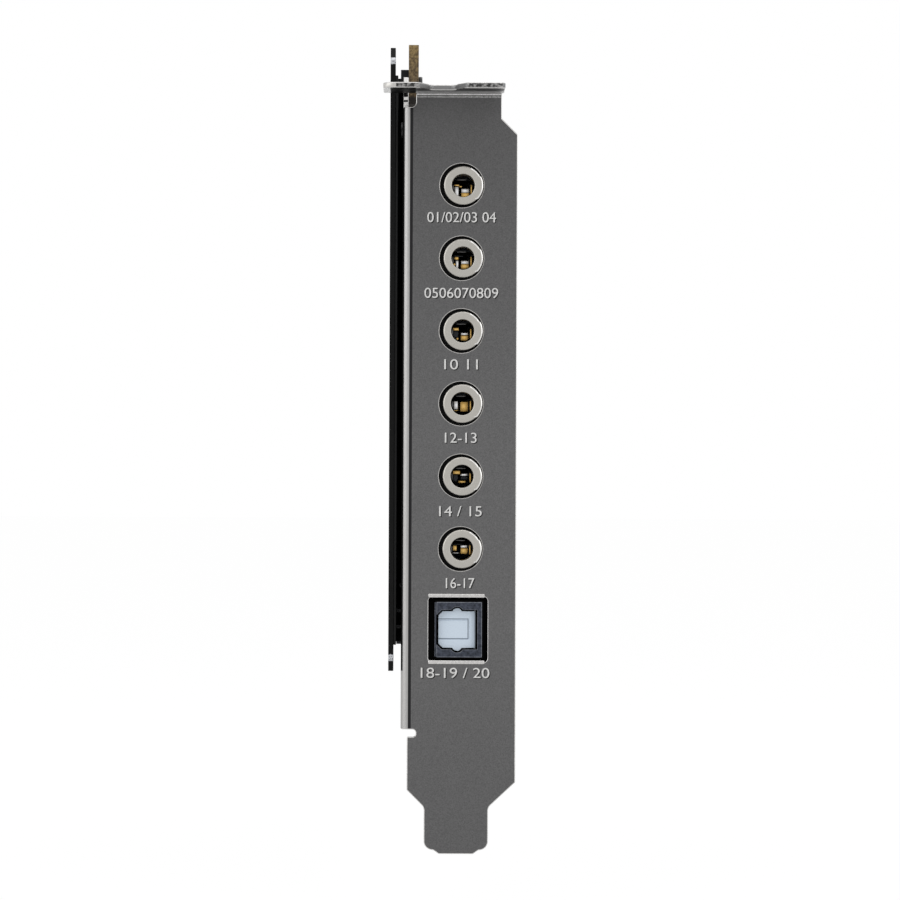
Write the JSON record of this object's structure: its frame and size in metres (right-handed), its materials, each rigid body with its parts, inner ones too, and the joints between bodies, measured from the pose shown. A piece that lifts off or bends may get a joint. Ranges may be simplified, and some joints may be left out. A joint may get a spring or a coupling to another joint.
{
  "type": "pci sound card",
  "caption": "Upright computer sound card: board with an edge connector, a steel rear bracket with round audio jacks and an optical socket with a sprung shutter.",
  "frame": {"origin": "middle of the board's thickness at the centre of the edge connector's key notch, at the bottom of the gold fingers", "axes": "+X out of the board's component side, +Y from the bracket into the computer, +Z from the edge connector towards the fixing tab"},
  "size_m": [0.0211, 0.1799, 0.1283],
  "materials": {
    "plated_steel": "satin nickel plate over fine brushed sheet",
    "board_laminate": "dark brown solder mask over a woven laminate",
    "gold_plate": "gold plate",
    "slate_plastic": "moulded, fine texture",
    "pale_plastic": "moulded, satin",
    "bright_steel": "bright",
    "clear_package": "moulded resin",
    "black_paint": "fine black powder coat",
    "black_plastic": "moulded",
    "black_steel": "black oxide",
    "black_foam": "matt closed-cell sheet",
    "chip_resin": "moulded epoxy",
    "ferrite": "pressed powder",
    "relay_plastic": "moulded",
    "gold_sleeve": "printed film sleeve, bare aluminium top",
    "black_sleeve": "film sleeve, bare aluminium top",
    "ceramic": "fired ceramic with tinned ends",
    "satin_nickel": "turned, satin nickel"
  },
  "bodies": {
    "card": {"audio_processor": "chip_resin", "backplate_screws": "black_steel", "board_standoffs": "black_plastic", "bracket": "plated_steel", "bracket_screws": "plated_steel", "bridge_chip": "chip_resin", "ceramic_capacitors": "ceramic", "chip_resistors": "chip_resin", "circuit_board": "board_laminate", "converter_chips": "chip_resin", "crystals": "bright_steel", "edge_contacts": "gold_plate", "emi_backplate": "black_paint", "front_panel_header": "black_plastic", "header_pins": "gold_plate", "headphone_amplifier": "chip_resin", "input_converter": "chip_resin", "insulating_sheet": "black_foam", "jack_1_contacts": "gold_plate", "jack_1_ferrule": "satin_nickel", "jack_1_housing": "black_plastic", "jack_2_contacts": "gold_plate", "jack_2_ferrule": "satin_nickel", "jack_2_housing": "black_plastic", "jack_3_contacts": "gold_plate", "jack_3_ferrule": "satin_nickel", "jack_3_housing": "black_plastic", "jack_4_contacts": "gold_plate", "jack_4_ferrule": "satin_nickel", "jack_4_housing": "black_plastic", "jack_5_contacts": "gold_plate", "jack_5_ferrule": "satin_nickel", "jack_5_housing": "black_plastic", "jack_6_contacts": "gold_plate", "jack_6_ferrule": "satin_nickel", "jack_6_housing": "black_plastic", "op_amp_sockets": "black_plastic", "op_amps": "chip_resin", "optical_housing": "slate_plastic", "optical_transmitter": "clear_package", "output_relays": "relay_plastic", "power_inductors": "ferrite", "shutter_pin": "bright_steel", "shutter_spring": "bright_steel", "signal_capacitors": "gold_sleeve", "supply_capacitors": "black_sleeve", "voltage_regulators": "chip_resin"},
    "shutter": {"optical_shutter": "pale_plastic"}
  },
  "joints": [
    {"name": "shutter_hinge", "type": "hinge", "parent": "card", "child": "shutter", "pos_m": [0.01005, -0.05691, 0.01608], "axis": [0, 0, -1], "range_deg": [0, 88], "stiffness_Nm_per_rad": 0.00005, "springref_deg": -17.19, "deforming": ["shutter_spring"]}
  ]
}
